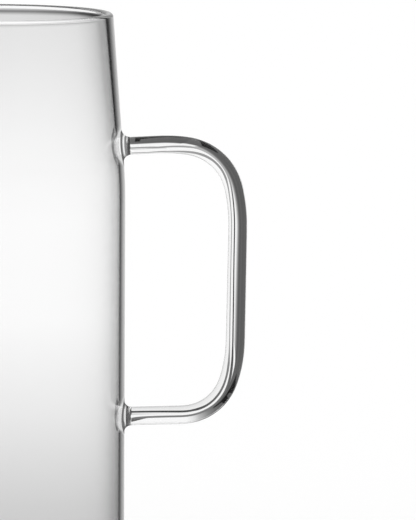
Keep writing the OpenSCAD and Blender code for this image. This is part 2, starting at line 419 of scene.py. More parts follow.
class Collar:
    """One melted joint: a fillet from a ring of the rod to a ring on the wall.

    The foot's ring is where a tube round the rod's own line meets the wall; its radius is the foot radius
    plus half the sag times the cosine of the angle from straight up. The fillet is a cubic curve at each
    angle, which leaves the rod along the rod and meets the wall along the wall. Its two inner points lie
    ROUND of the way towards the corner.
    """
    ROUND = 0.56

    def __init__(self, wall, line, distance, foot, sag):
        self.wall, self.line, self.distance = wall, line, distance
        self.foot, self.sag = foot, sag
        heading = float(np.interp(distance, line.fine, line.heading))
        self.outward = 1 if distance == 0 else -1
        self.axis = self.outward * np.array([math.cos(heading), 0, math.sin(heading)])
        self.up = np.array([-self.axis[2], 0, self.axis[0]])
        self.start = np.array([np.interp(distance, line.fine, line.x), 0,
                               np.interp(distance, line.fine, line.z)])
        self.centre = self.on_wall(np.zeros(1), np.zeros(1))[0]

    def on_wall(self, around, radius):
        """Points of the outer wall seen from the rod at an angle and a distance from its line."""
        side = radius * np.sin(around)
        lift = radius * np.cos(around)
        along = np.zeros_like(side)
        for _ in range(4):
            z = self.start[2] + along * self.axis[2] + lift * self.up[2]
            x = self.start[0] + along * self.axis[0] + lift * self.up[0]
            wanted = np.sqrt(self.wall.radius_at(z) ** 2 - side ** 2)
            along = along + (wanted - x) / self.axis[0]
        return (self.start + along[..., None] * self.axis + lift[..., None] * self.up
                + side[..., None] * SIDEWAYS)

    def foot_ring(self, around):
        """The foot's ring, as the turn round the vessel and the distance along the outer chain."""
        radius = self.foot + self.sag / 2 * np.cos(around)
        point = self.on_wall(around, radius)
        return np.arctan2(point[..., 1], point[..., 0]), self.wall.height_to_distance(point[..., 2])

    def fillet(self, around, share_out):
        """The fillet: nothing is the ring on the wall, one is the ring on the rod."""
        turn, distance = self.foot_ring(around)
        outer = self.wall.surface(self.wall.outer, [])
        low = outer(turn, distance)
        normal = slopes(outer, turn, distance)
        radial = np.cos(around)[..., None] * self.up + np.sin(around)[..., None] * SIDEWAYS
        flat = radial - (radial * normal).sum(-1, keepdims=True) * normal
        flat /= np.linalg.norm(flat, axis=-1, keepdims=True)
        high = self.line.ring(np.full_like(around, self.distance), self.rod_angle(around))[0]
        gap = high - low
        reach = (gap * self.axis).sum(-1, keepdims=True)
        spread = np.linalg.norm(gap - reach * self.axis, axis=-1, keepdims=True)
        first = low - self.ROUND * spread * flat
        second = high - self.ROUND * np.abs(reach) * self.axis
        t = share_out[..., None]
        return ((1 - t) ** 3 * low + 3 * (1 - t) ** 2 * t * first + 3 * (1 - t) * t ** 2 * second
                + t ** 3 * high)

    def rod_angle(self, around):
        """The same angle as the rod counts it, whose line runs the other way at its lower end."""
        return around if self.outward == 1 else math.pi - around


def square_to_ring(across, up):
    """The level and the angle of a point of a square, whose nested squares become nested rings.

    The level is the larger of the two coordinates without sign. The angle runs evenly along each side of
    the square: an eighth of a turn times the smaller over the larger, from the middle of that side.
    """
    level = np.maximum(np.abs(across), np.abs(up))
    tall = np.abs(up) >= np.abs(across)
    safe_up = np.where(up == 0, 1, up)
    safe_across = np.where(across == 0, 1, across)
    angle_tall = np.where(up < 0, math.pi, 0) + math.pi / 4 * across / safe_up
    angle_wide = np.sign(across) * math.pi / 2 - math.pi / 4 * up / safe_across
    return level, np.where(tall, angle_tall, angle_wide)


def parts():
    """The wall, the rod's line and the two collars, worked out from the sizes in the panel."""
    scene = bpy.context.scene
    collars = scene.pitcher_collars
    wall = Wall(scene.pitcher_vessel)
    line = RodLine(scene.pitcher_handle, collars, wall)
    upper = Collar(wall, line, 0.0, collars.upper_foot, collars.upper_sag)
    lower = Collar(wall, line, float(line.fine[-1]), collars.lower_foot, collars.lower_sag)
    return wall, line, upper, lower


# Materials

class Graph:
    """Short ways to add nodes to a tree. Most give the output socket of the node that they add."""

    def __init__(self, tree):
        self.tree = tree
        tree.nodes.clear()

    def add(self, kind, tree=None, **sockets):
        """A new node, which shows a tree where it is a group, with each named socket linked or set."""
        made = self.tree.nodes.new(kind)
        if tree:
            made.node_tree = tree
        for name, value in sockets.items():
            self.plug(made.inputs[name.replace("_", " ")], value)
        return made

    def plug(self, socket, value):
        """Link a socket to an output, or set it to a value. A number is a grey where a colour is set."""
        if isinstance(value, bpy.types.NodeSocket):
            self.tree.links.new(value, socket)
        elif socket.type == "RGBA" and isinstance(value, (int, float)):
            socket.default_value = (value, value, value, 1)
        else:
            socket.default_value = value

    def apart(self, coordinates):
        """The three parts of a texture coordinate."""
        place = self.add("ShaderNodeTexCoord").outputs[coordinates]
        split = self.add("ShaderNodeSeparateXYZ", Vector=place)
        return [split.outputs[axis] for axis in "XYZ"]

    def place(self):
        """The place on the piece, as three lengths in millimetres."""
        return [self.times(part, 1 / MM) for part in self.apart("Object")]

    def maths(self, operation, *values, clamp=False):
        made = self.add("ShaderNodeMath")
        made.operation = operation
        made.use_clamp = clamp
        for socket, value in zip(made.inputs, values):
            self.plug(socket, value)
        return made.outputs["Value"]

    def times(self, first, second):
        return self.maths("MULTIPLY", first, second)

    def root_of_squares(self, first, second):
        """The root of the sum of two squares."""
        return self.maths("SQRT", self.maths("ADD", self.times(first, first), self.times(second, second)))

    def within(self, value, low, high):
        """One between two values, nothing elsewhere."""
        return self.times(self.maths("GREATER_THAN", value, low), self.maths("LESS_THAN", value, high))

    def between(self, value, start, end, kind="SMOOTHSTEP", low=0, high=1):
        """Low at the start, high at the end, and a smooth step or a straight slope between them."""
        made = self.add("ShaderNodeMapRange", Value=value, From_Min=start, From_Max=end, To_Min=low,
                        To_Max=high)
        made.interpolation_type = kind
        return made.outputs["Result"]

    def curve(self, value, stops, top=1.0):
        """A value read off straight lines between stops, given as pairs that are in order."""
        low, high = stops[0][0], stops[-1][0]
        made = self.add("ShaderNodeValToRGB", Fac=self.between(value, low, high, "LINEAR"))
        elements = made.color_ramp.elements
        elements.remove(elements[1])
        elements[0].position = 0
        for stop, _ in stops[1:]:
            elements.new((stop - low) / (high - low))
        for element, (_, level) in zip(elements, stops):
            element.color = (level / top, level / top, level / top, 1)
        return self.times(made.outputs["Color"], top)

    def mixed(self, share, first, second):
        """The first colour where the share is nothing, the second where it is one."""
        made = self.add("ShaderNodeMix")
        made.data_type = "RGBA"
        for name, value in (("Factor", share), ("A", first), ("B", second)):
            self.plug(made.inputs[name], value)
        return made.outputs["Result"]

    def blend(self, share, first, second):
        """The first shader where the share is nothing, the second where it is one."""
        made = self.add("ShaderNodeMixShader", Fac=share)
        self.plug(made.inputs[1], first)
        self.plug(made.inputs[2], second)
        return made.outputs["Shader"]

    def light(self, tone):
        """An even light of one tone."""
        return self.add("ShaderNodeEmission", Color=tone).outputs["Emission"]


def new_material(name):
    """A material, its graph and the socket that its shader goes into."""
    material = bpy.data.materials.new(name)
    material.use_nodes = True
    graph = Graph(material.node_tree)
    return material, graph, graph.add("ShaderNodeOutputMaterial").inputs["Surface"]


def new_group(name, **sockets):
    """A shader node group and its graph, with sockets named after what each is: a side and a kind."""
    tree = bpy.data.node_groups.new(name, "ShaderNodeTree")
    for label, (side, kind) in sockets.items():
        tree.interface.new_socket(label.replace("_", " "), in_out=side, socket_type="NodeSocket" + kind)
    return tree, Graph(tree)


# The stretch of the waves along the height, their reach, the scale of the haze and the values of its noise
# between which it comes in
WAVE_STRETCH, WAVE_REACH, HAZE_SCALE, HAZE_LIMITS = 0.16, 0.3 * MM, 55, (0.52, 0.78)


def glass_surface_group():
    """Drawn waves and handling haze, as a normal and a mask that change over the glass.

    The waves are noise that is stretched along the height. The haze is finer noise, cut so that it only
    lies in patches.
    """
    tree, graph = new_group("Drawn glass", Wave_Scale=("INPUT", "Float"), Wave_Depth=("INPUT", "Float"),
                            Normal=("OUTPUT", "Vector"), Haze=("OUTPUT", "Float"))
    given = graph.add("NodeGroupInput").outputs
    place = graph.add("ShaderNodeTexCoord").outputs["Object"]
    stretched = graph.add("ShaderNodeMapping", Vector=place, Scale=(1, 1, WAVE_STRETCH)).outputs["Vector"]
    waves = graph.add("ShaderNodeTexNoise", Vector=stretched, Scale=given["Wave Scale"], Detail=1,
                      Roughness=0.35)
    bump = graph.add("ShaderNodeBump", Height=waves.outputs["Fac"], Distance=WAVE_REACH,
                     Strength=given["Wave Depth"])
    smudges = graph.add("ShaderNodeTexNoise", Vector=place, Scale=HAZE_SCALE, Detail=4)
    haze = graph.between(smudges.outputs["Fac"], *HAZE_LIMITS, "LINEAR")
    graph.add("NodeGroupOutput", Normal=bump.outputs["Normal"], Haze=haze)
    return tree


# Painted shade round the melted joints, upper and lower, in millimetres: the height of the joint's middle,
# the radius of the wall, the half width and half height of the foot's painted outline and where the painted
# line at the rod's end stands out. The dark lines stand in for the refraction at the joints.
SEAM_MIDDLE = (187.3, 79.2)
SEAM_WALL = (54.4, 55.0)
SEAM_HALF_WIDTH = (8.0, 9.5)
SEAM_HALF_HEIGHT = (6.5, 5.7)
SEAM_ROD = (1.75, 1.05)
# By how far out from that radius of the wall a place stands: the painted seam shade shows past the first,
# caught light counts as outside past the second, and the push in the inner wall lies below the third
SEAM_OUTER, NEAR_OUTER, DENT_INNER = -1, -1.2, -1.5
# Where each mask starts and is full: off the foot's painted outline as a share of its size, off the rod's
# painted line in millimetres, and inside the ellipses of the push in the inner wall and of all that is near
# the joint
FOOT_FADE, ROD_FADE, DENT_FADE, NEAR_FADE = (0.38, 0.25), (0.6, 0.2), (1.12, 0.85), (1.1, 0.9)
# The width and height of those two ellipses, as shares of the foot's
DENT_ELLIPSE, NEAR_ELLIPSE = (1 / 1.6, 1 / 0.84), (1.8, 1.15)
# How dark the painted seam shade is, how much of it shows, how much less shows in the push, and between
# which slants of the glass the foot's painted outline comes in
SEAM_SHADE_TONE, SEAM_SHADE_SHARE, DENT_SHADE_SHARE, SEAM_SLANT = 0.05, 0.88, 0.75, (0.45, 0.75)
# The tone of the painted glow given to light that is caught inside the glass: in the vessel, in the rod
# and near a joint
CAUGHT_GLOW, CAUGHT_ROD_GLOW, CAUGHT_NEAR_GLOW = 0.25, 0.75, 0.93
# What the light's own counts are held against: more than none, and more than three turns inside the glass
ANY, MANY_TURNS = 0.5, 3.5
# What lamps keep of their light through a face of the glass
LAMP_PASSES = (0.93, 0.95, 0.94, 1)


def painted_seam_shade_group():
    """Where painted shade darkens a melted joint, and what lies near it, as masks.

    An ellipse holds where the root of (y / half width) squared + (height off the middle / half height)
    squared is at most one. Foot, painted shade, is the outline of the joint on the wall, together with the
    inside of a narrower ellipse on the inner wall. Rod, painted shade too, lies at one distance out from the
    wall. Near, where caught light is given a painted glow, is the inside of a wider ellipse, on both walls or
    on the outside alone.
    """
    tree, graph = new_group("Melted seams", Foot=("OUTPUT", "Float"), Rod=("OUTPUT", "Float"),
                            Near=("OUTPUT", "Float"), Near_Outside=("OUTPUT", "Float"))
    maths, times, between = graph.maths, graph.times, graph.between
    x, y, z = graph.place()
    upper = maths("GREATER_THAN", z, sum(SEAM_MIDDLE) / 2)

    def either(pair):
        return maths("ADD", pair[1], times(upper, pair[0] - pair[1]))

    def off(value, middle):
        return maths("ABSOLUTE", maths("SUBTRACT", value, middle))

    wide = maths("DIVIDE", y, either(SEAM_HALF_WIDTH))
    high = maths("DIVIDE", maths("SUBTRACT", z, either(SEAM_MIDDLE)), either(SEAM_HALF_HEIGHT))

    def ellipse(size):
        return graph.root_of_squares(maths("DIVIDE", wide, size[0]), maths("DIVIDE", high, size[1]))

    stands = maths("SUBTRACT", graph.root_of_squares(x, y), either(SEAM_WALL))
    handle_side = maths("GREATER_THAN", x, 0)
    outside = times(handle_side, maths("GREATER_THAN", stands, SEAM_OUTER))
    # Masks of painted shade: the foot's outline on the outer wall and the push on the inner wall, standing in
    # for refraction
    foot = times(between(off(ellipse((1, 1)), 1), *FOOT_FADE), outside)
    dent = times(maths("LESS_THAN", stands, DENT_INNER), between(ellipse(DENT_ELLIPSE), *DENT_FADE))
    near = times(between(ellipse(NEAR_ELLIPSE), *NEAR_FADE), handle_side)
    graph.add("NodeGroupOutput", Foot=maths("MAXIMUM", foot, times(dent, DENT_SHADE_SHARE)),
              Rod=times(between(off(stands, either(SEAM_ROD)), *ROD_FADE), outside),
              Near=near, Near_Outside=times(near, maths("GREATER_THAN", stands, NEAR_OUTER)))
    return tree


def glass_material(name, surface_group, wave_scale, wave_share, seam_shade_group):
    """Clear glass, with painted shade in dark lines round the melted joints where a seam shade group is
    given.

    Light that has turned round inside the glass often enough, or once near a joint, is caught: it ends
    there with one even tone, a painted glow in place of the light. Lamps shine through the glass, so that its
    shadow is faint.
    """
    look = bpy.context.scene.pitcher_glass
    material, graph, surface = new_material(name)
    maths = graph.maths
    drawn = graph.add("ShaderNodeGroup", surface_group, Wave_Scale=wave_scale,
                      Wave_Depth=look.wave * wave_share).outputs
    shader = graph.add("ShaderNodeBsdfPrincipled", Base_Color=(*look.tint, 1), Transmission_Weight=1,
                       IOR=look.ior, Roughness=graph.times(drawn["Haze"], look.haze),
                       Normal=drawn["Normal"]).outputs["BSDF"]
    rays = graph.add("ShaderNodeLightPath").outputs
    # Painted glow: caught light ends in an even emitted tone instead of being followed further
    caught = maths("GREATER_THAN", rays["Glossy Depth"], MANY_TURNS)
    tone = CAUGHT_ROD_GLOW
    if seam_shade_group:
        seam = graph.add("ShaderNodeGroup", seam_shade_group).outputs
        # Painted shade: dark lines round the foot and at the rod's end stand in for the refraction at the
        # joint
        facing = graph.add("ShaderNodeLayerWeight").outputs["Facing"]
        slant = graph.between(facing, *SEAM_SLANT, "LINEAR")
        dark = maths("MULTIPLY_ADD", seam["Foot"], slant, seam["Rod"], clamp=True)
        shader = graph.blend(graph.times(dark, SEAM_SHADE_SHARE), shader, graph.light(SEAM_SHADE_TONE))
        once = maths("GREATER_THAN", rays["Glossy Depth"], ANY)
        caught = maths("MULTIPLY_ADD", once, seam["Near Outside"], caught, clamp=True)
        tone = graph.between(seam["Near"], 0, 1, "LINEAR", CAUGHT_GLOW, CAUGHT_NEAR_GLOW)
    shader = graph.blend(caught, shader, graph.light(tone))
    clear = graph.add("ShaderNodeBsdfTransparent", Color=LAMP_PASSES).outputs["BSDF"]
    graph.plug(surface, graph.blend(rays["Is Shadow Ray"], shader, clear))
    return material


def melted_joint_material():
    """Faces inside the glass, where two pieces are melted together and nothing shows."""
    material, graph, surface = new_material("Melted joint")
    graph.plug(surface, graph.add("ShaderNodeBsdfPrincipled", Alpha=0, Roughness=0).outputs["BSDF"])
    return material


def materials():
    """The glass of the vessel, of the rod and of the collars, and the clear joint, made once."""
    if "Melted joint" not in bpy.data.materials:
        drawn, seam_shading = glass_surface_group(), painted_seam_shade_group()
        glass_material("Vessel glass", drawn, 26, 1.0, seam_shading)
        glass_material("Rod glass", drawn, 60, 0.5, None)
        glass_material("Collar glass", drawn, 90, 0.6, seam_shading)
        melted_joint_material()
    return bpy.data.materials


# Pieces

# Spacing of the grid: at the middle of a floor, in the heel, at the rim, in the pushed in places and round
# the vessel
FLOOR_CELL, HEEL_CELL, RIM_CELL, DENT_CELL, ROUND_CELL = 3 * MM, 0.9 * MM, 0.2 * MM, 0.7 * MM, 2.15 * MM
# The widest spacing in the floor, between heel and lower joint, between the joints and up to the rim
FLOOR_WIDEST, LOW_WIDEST, MIDDLE_WIDEST, HIGH_WIDEST = 4 * MM, 4.5 * MM, 3.6 * MM, 1.8 * MM
# Spacing along the rod, at its ends and between them
ROD_CELL, ROD_WIDEST = 0.5 * MM, 1.05 * MM


def wall_rows(ends, low, high, half, cell):
    """Places up a chain of the wall, even within half a height of its two joints and at heel and rim."""
    runs = [(ends[1], HEEL_CELL, FLOOR_WIDEST), (ends[2], HEEL_CELL, HEEL_CELL),
            (low - half, cell, LOW_WIDEST), (low + half, cell, cell),
            (high - half, cell, MIDDLE_WIDEST), (high + half, cell, cell),
            (ends[5], RIM_CELL, HIGH_WIDEST), (ends[6], RIM_CELL, RIM_CELL)]
    starts = [(0, FLOOR_CELL, 0)] + runs[:-1]
    return joined(*(graded(start[0], run[0], start[1], run[1], run[2]) for start, run in zip(starts, runs)))


def bent_to_feet(turns, distances, patch_turn, joints):
    """The outer wall's parameters, bent in a square patch round each joint so that a square is its foot.

    Inside the foot the nested squares become rings that grow evenly up to the foot's ring. Outside it
    they go over evenly into the patch's own edge. The level is one on the foot's ring.
    """
    levels = np.full(turns.shape, 2.0)
    foot_level = 2 * FOOT_CELLS / PATCH_CELLS
    for collar, middle in joints:
        across = turns / patch_turn
        up = (distances - middle) / PATCH_HALF
        patch = (np.abs(across) <= 1 + 1e-9) & (np.abs(up) <= 1 + 1e-9)
        level, angles = square_to_ring(across[patch], up[patch])
        ring_turn, ring_distance = collar.foot_ring(angles)
        inner = np.clip(level / foot_level, 0, 1)
        beyond = np.clip((level - foot_level) / (1 - foot_level), 0, 1)
        safe = np.maximum(level, 1e-9)
        edge_turn, edge_distance = turns[patch] / safe, middle + (distances[patch] - middle) / safe
        turns[patch] = ring_turn * inner * (1 - beyond) + edge_turn * beyond
        distances[patch] = ((middle + (ring_distance - middle) * inner) * (1 - beyond)
                            + edge_distance * beyond)
        levels[patch] = level / foot_level
    return turns, distances, levels


class PITCHER_OT_vessel(bpy.types.Operator):
    """Build the blown vessel, from the middle of the foot over the rim to the middle of the inside"""
    bl_idname = "pitcher.vessel"
    bl_label = "Vessel"

    def execute(self, context):
        wall, _, upper, lower = parts()
        size, collars = wall.size, context.scene.pitcher_collars
        cell = 2 * PATCH_HALF / PATCH_CELLS
        patch_turn = PATCH_HALF / size.radius
        around = joined(np.linspace(-patch_turn, patch_turn, PATCH_CELLS + 1),
                        graded(patch_turn, TURN - patch_turn, cell / size.radius, cell / size.radius,
                               ROUND_CELL / size.radius))[:-1]
        low, high = (float(wall.height_to_distance(collar.centre[2])) for collar in (lower, upper))
        shift = wall.inner.ends[5] - wall.outer.ends[5]
        outer_rows = wall_rows(wall.outer.ends, low, high, PATCH_HALF, cell)
        inner_rows = wall_rows(wall.inner.ends, low + shift, high + shift, collars.dent_radius + 1 * MM,
                               DENT_CELL)

        outer = wall.surface(wall.outer, [])
        inner = wall.surface(wall.inner, [(upper.centre[2], collars.upper_dent, collars.dent_radius),
                                          (lower.centre[2], collars.lower_dent, collars.dent_radius)])
        turns, distances, levels = bent_to_feet(*np.meshgrid(around, outer_rows), patch_turn,
                                                [(upper, high), (lower, low)])
        outer_points, outer_normals = outer(turns, distances), slopes(outer, turns, distances)
        turns, distances = np.meshgrid(around, inner_rows[:-1])
        inner_points = inner(turns, distances)[::-1]
        inner_normals = -slopes(inner, turns, distances)[::-1]
        outer_normals[0], inner_normals[-1], outer_normals[-1] = (0, 0, -1), (0, 0, 1), (0, 0, 1)

        foot = levels <= 1 + 1e-6
        beside = np.roll(foot, -1, axis=1)
        clear = np.zeros((len(outer_rows) + len(inner_rows) - 2, len(around)), bool)
        clear[:len(outer_rows) - 1] = foot[:-1] & foot[1:] & beside[:-1] & beside[1:]
        piece = grid_mesh("vessel_piece", np.concatenate([outer_points, inner_points]),
                          np.concatenate([outer_normals, inner_normals]), clear,
                          [materials()["Vessel glass"], materials()["Melted joint"]])
        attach(piece, "root")
        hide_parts("vessel")
        return {"FINISHED"}


def capped(rings, normals, first_cap, last_cap):
    """Rows of a tube with a row of caps at each end, and which faces belong to the caps."""
    points = np.concatenate([first_cap, rings, last_cap[::-1]])
    last = len(last_cap)
    filler = np.broadcast_to(normals[:1], (len(first_cap),) + normals.shape[1:])
    closer = np.broadcast_to(normals[-1:], (last,) + normals.shape[1:])
    clear = np.zeros((len(points) - 1, points.shape[1]), bool)
    clear[:len(first_cap)] = True
    clear[len(points) - 1 - last:] = True
    return points, np.concatenate([filler, normals, closer]), clear


def flat_cap(ring, rows=4):
    """Rings that shrink from the middle of a ring up to just inside it."""
    middle = ring.mean(axis=0)
    return middle + (ring - middle) * (np.arange(rows) / rows)[:, None, None]


class PITCHER_OT_handle(bpy.types.Operator):
    """Sweep the rod along its line, from the upper collar round the grip to the lower collar"""
    bl_idname = "pitcher.handle"
    bl_label = "Handle"

    def execute(self, context):
        _, line, _, _ = parts()
        around = np.arange(ROD_SIDES) * TURN / ROD_SIDES
        distance = graded(0, float(line.fine[-1]), ROD_CELL, ROD_CELL, ROD_WIDEST)
        angles, along = np.meshgrid(around, distance)
        rings, normals = line.ring(along, angles)
        points, normals, clear = capped(rings, normals, flat_cap(rings[0]), flat_cap(rings[-1]))
        piece = grid_mesh("handle_rod", points, normals, clear,
                          [materials()["Rod glass"], materials()["Melted joint"]])
        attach(piece, "root")
        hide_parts("handle")
        return {"FINISHED"}


class PITCHER_OT_collars(bpy.types.Operator):
    """Build the two collars of glass that melt the rod onto the wall"""
    bl_idname = "pitcher.collars"
    bl_label = "Collars"

    def execute(self, context):
        wall, line, upper, lower = parts()
        outer = wall.surface(wall.outer, [])
        around = np.arange(ROD_SIDES) * TURN / ROD_SIDES
        even = np.linspace(0, 1, 25)
        for name, collar in (("upper_collar", upper), ("lower_collar", lower)):
            angles, shares = np.meshgrid(around, (smooth(even) + even) / 2)
            rings = collar.fillet(angles, shares)
            normals = -slopes(collar.fillet, angles, shares, 1e-4, 1e-4)
            turn, distance = collar.foot_ring(around)
            middle = float(wall.height_to_distance(collar.centre[2]))
            levels = (np.arange(FOOT_CELLS) / FOOT_CELLS)[:, None]
            foot = outer(turn * levels, middle + (distance - middle) * levels)
            normals[0] = slopes(outer, turn, distance)
            normals[-1] = line.ring(np.full_like(around, collar.distance), collar.rod_angle(around))[1]
            points, normals, clear = capped(rings, normals, foot, flat_cap(rings[-1]))
            piece = grid_mesh(name + "_gather", points, normals, clear,
                              [materials()["Collar glass"], materials()["Melted joint"]])
            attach(piece, "root")
            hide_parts(name)
        return {"FINISHED"}


# The stage

# What light meets after it has gone through two walls of the vessel, by its height over the horizon in
# degrees: the pale backdrop, a little greyer high up and low down
BACKDROP = [(-90, 1.05), (-30, 1.05), (-14, 1.05), (-12, 0.75), (-8.4, 0.55), (-7.75, 0.693), (-7.6, 0.741),
            (-7.38, 0.822), (-7.15, 0.892), (-6.93, 0.95), (-6.7, 0.998), (-6.48, 1.067), (-6.25, 1.086),
            (-5.9, 1.095), (-5.33, 1.072), (-4.55, 1.057), (-4.19, 1.03), (-3.92, 1.0), (-3.67, 0.955),
            (-3.49, 0.89), (-3.4, 0.84), (-3.28, 0.80), (6, 0.85), (90, 0.9)]
# How much of that is lost to the right of the backdrop, by height, and how it grows to the right
SIDE_FADE = [(-90, 0.3), (-7.7, 0.3), (-7.24, 0.26), (-6.8, 0.14), (-6.3, 0.05), (-5.8, 0), (-4.3, 0),
             (-4.0, 0.15), (-3.75, 0.25), (-3.56, 0.28), (-3.45, 0.32), (-3.3, 0.36), (90, 0.36)]
SIDE_REACH = [(4, 0), (6.5, 0.3), (8, 0.42), (9.5, 0.6), (11, 0.88), (12.5, 1), (17, 1), (22, 1.2),
              (30, 2.6), (38, 2.6), (50, 0)]
# The heights above are met lower to each side, by this share of the turn up to the second number, in the
# upper part of the backdrop, which starts between the last two
SAG, SAG_END, SAG_START = 0.093, 30, (-5.3, -4.5)
# What a reflection meets, by its turn to the side in degrees, and how that changes with its height
MIRROR = [(0, 0.95), (5, 0.86), (9, 0.7), (12.5, 0.58), (15.5, 0.5), (19.7, 0.4), (23.6, 0.27), (27, 0.1),
          (28.7, 0), (34, 0), (40, 0.15), (60, 0.3), (180, 0.3)]
MIRROR_HEIGHT = [(-90, 3), (-25, 3), (-14, 1), (-9, 0.82), (-7.2, 0.86), (-5.7, 1.0), (-2.1, 0.92),
                 (-1.2, 0.75), (5, 0.7), (20, 1), (90, 1)]
# Off the outside of the glass it meets this tone instead, high up and low down
STEEP, STEEP_TONE = (14, 28), 0.15
# What light that has gone through one solid thickness meets ahead, by its height
SURROUND = [(-90, 0.7), (-60, 0.75), (-40, 0.85), (-12, 0.95), (-4, 1.0), (41, 1.0), (44, 0.65), (47, 0.9),
            (60, 0.8), (90, 0.7)]
# The middle of the backdrop as the camera sees it past the handle, in degrees to the right and up, and how
# far out from there the backdrop gives way to the sides
SIGHT = (1.7, -5.5)
PALE_EDGE = (5.5, 10)
# The grey side of the studio, by the turn in degrees about that middle, from the right round over the top,
# and the turns where it ends
GREY_SIDE = [(-180, 0.095), (-140, 0.095), (-100, 0.13), (-93, 0.15), (-91, 1.0), (97, 1.0), (105, 0.8),
             (112, 0.5), (122, 0.25), (131, 0.15), (140, 0.1), (180, 0.095)]
GREY_END = (91, 89)
# How far out from the middle the two black cards reach, by the same turn
UPPER_CARD_NEAR = [(-131, 28), (-129, 23), (-120, 18), (-112, 15.5), (-111, 28)]
UPPER_CARD_FAR = [(-131, 28), (-129, 33), (-124, 42), (-120, 52), (-112, 54), (-111, 28)]
LOWER_CARD_NEAR = [(130, 16), (132, 13), (140, 15), (155, 16.5), (163, 19), (169, 26)]
LOWER_CARD_FAR = [(130, 16), (132, 17), (141, 22), (143, 58), (148, 58), (150, 25), (154, 25), (156, 58),
                  (161, 58), (165, 36), (169, 26)]
CARD_BLACK = 0.0
# More faces than these lie behind light that has gone through both walls, for the studio and for its cards
BOTH_WALLS, BOTH_WALLS_CARD = 3.5, 2.5
# Light that comes back past the glass meets a grey, and further round a pale wall: where along Y each
# starts, and its tone
TURNED_BACK, TURNED_GREY = (0.25, -0.3), 0.3
FAR_BACK, FAR_PALE = (-0.45, -0.62), 0.95


def world_light():
    """The studio round the object, as light that comes from each direction.

    The camera sees white. Reflections see a studio that is pale ahead, grey to the sides and dark high up.
    Light through both walls of the vessel sees the backdrop. After one solid thickness of glass it sees a
    pale surround to the right, the grey side of the studio to the left and two black cards in it.
    """
    world = bpy.data.worlds.new("Studio")
    bpy.context.scene.world = world
    world.use_nodes = True
    graph = Graph(world.node_tree)
    maths, times, between = graph.maths, graph.times, graph.between
    mixed, curve = graph.mixed, graph.curve
    rays = graph.add("ShaderNodeLightPath").outputs
    x, y, z = graph.apart("Generated")

    height = maths("DEGREES", maths("ARCSINE", z))
    aside = maths("DEGREES", maths("ARCTAN2", x, y))
    across, up = maths("SUBTRACT", aside, SIGHT[0]), maths("SUBTRACT", height, SIGHT[1])
    turn = maths("DEGREES", maths("ARCTAN2", up, across))
    away = graph.root_of_squares(across, up)

    ahead = curve(height, SURROUND)
    surround = mixed(between(away, *PALE_EDGE), ahead, curve(turn, GREY_SIDE))
    surround = mixed(between(maths("ABSOLUTE", turn), *GREY_END), surround, ahead)
    for near, far in ((UPPER_CARD_NEAR, UPPER_CARD_FAR), (LOWER_CARD_NEAR, LOWER_CARD_FAR)):
        inside = graph.within(away, curve(turn, near, 60), curve(turn, far, 60))
        surround = mixed(inside, surround, CARD_BLACK)
    behind = mixed(between(y, *FAR_BACK), TURNED_GREY, FAR_PALE)
    surround = mixed(between(y, *TURNED_BACK), surround, behind)

    sag = times(maths("MINIMUM", maths("ABSOLUTE", aside), SAG_END), SAG)
    level = maths("SUBTRACT", height, times(sag, between(height, *SAG_START)))
    lost = times(curve(level, SIDE_FADE), curve(aside, SIDE_REACH, 3))
    backdrop = times(curve(level, BACKDROP, 2), maths("SUBTRACT", 1, lost))
    through = mixed(maths("GREATER_THAN", rays["Transmission Depth"], BOTH_WALLS), surround, backdrop)

    mirror = times(curve(maths("ABSOLUTE", aside), MIRROR), curve(height, MIRROR_HEIGHT, 3))
    outside = maths("LESS_THAN", rays["Transmission Depth"], ANY)
    mirror = mixed(times(between(maths("ABSOLUTE", height), *STEEP), outside), mirror, STEEP_TONE)
    seen = mixed(maths("GREATER_THAN", rays["Glossy Depth"], ANY), through, mirror)
    seen = mixed(rays["Is Diffuse Ray"], seen, 0.5)
    seen = mixed(rays["Is Camera Ray"], seen, 1.0)
    back = graph.add("ShaderNodeBackground", Color=seen).outputs["Background"]
    graph.add("ShaderNodeOutputWorld", Surface=back)


# Studio cards close behind the handle, in millimetres, seen only through one solid thickness of glass. All
# stand in one upright plane but the shelf, which lies under the upper arm.
CARD_PLANE = 60
SHELF_HEIGHT = 170
# The grey of the card and the shelf by the distance to the right, and the share of it that the shelf has
CARD_GREY = [(60, 0.17), (72, 0.15), (82, 0.125), (92, 0.088)]
SHELF_SHARE = 0.75
# The middle of the card's round corner, and its soft edge by the distance from there
CARD_CORNER = (87.5, 163)
CARD_EDGE = [(0, 0), (6.5, 0), (10.5, 0.1), (14.4, 0.4), (18.3, 0.86), (21, 1)]
# The shelf's black line along the left, as limits to the right and back, its black front line, as limits to
# the right, how far back it starts and ends, and its soft far edge
SHELF_LEFT = ((60.2, 62.4), (16, 46))
SHELF_FRONT, SHELF_FRONT_START = (60.2, 90), 15.5
SHELF_FRONT_END = [(60.2, 36), (63, 28), (68, 23), (77, 18), (79, 10)]
SHELF_EDGE = (74, 112)
# Dark cords that hang as two loops round the handle: places in the plane, tones by height and half widths
# by height
INNER_LOOP = [(50, 191), (63, 191.5), (69, 193.5), (75, 191), (80, 187), (85, 182), (93, 178), (102, 173),
              (109, 167), (113, 159), (114.5, 150), (114, 135), (112, 118), (110.5, 102), (107, 95.5),
              (100, 90), (94, 86.5), (88, 83), (84, 79), (78, 77.5), (70, 77), (63, 78.5), (59, 86),
              (55, 100)]
OUTER_LOOP = [(50, 226), (64, 233), (70, 227), (77, 224), (83, 218), (94, 202), (102, 188), (111, 180.5),
              (118, 177), (125, 171), (130, 164), (132.5, 156), (133, 145), (132, 130), (129, 108),
              (126, 97), (119, 90), (113, 86), (105, 77), (94, 68), (89, 62), (83, 59.5), (68, 54.5),
              (50, 52)]
INNER_TONES = [(60, 0.2), (80, 0.2), (87, 0.12), (98, 0.04), (160, 0.04), (168, 0.3), (178, 0.5),
               (187, 0.35), (210, 0.3)]
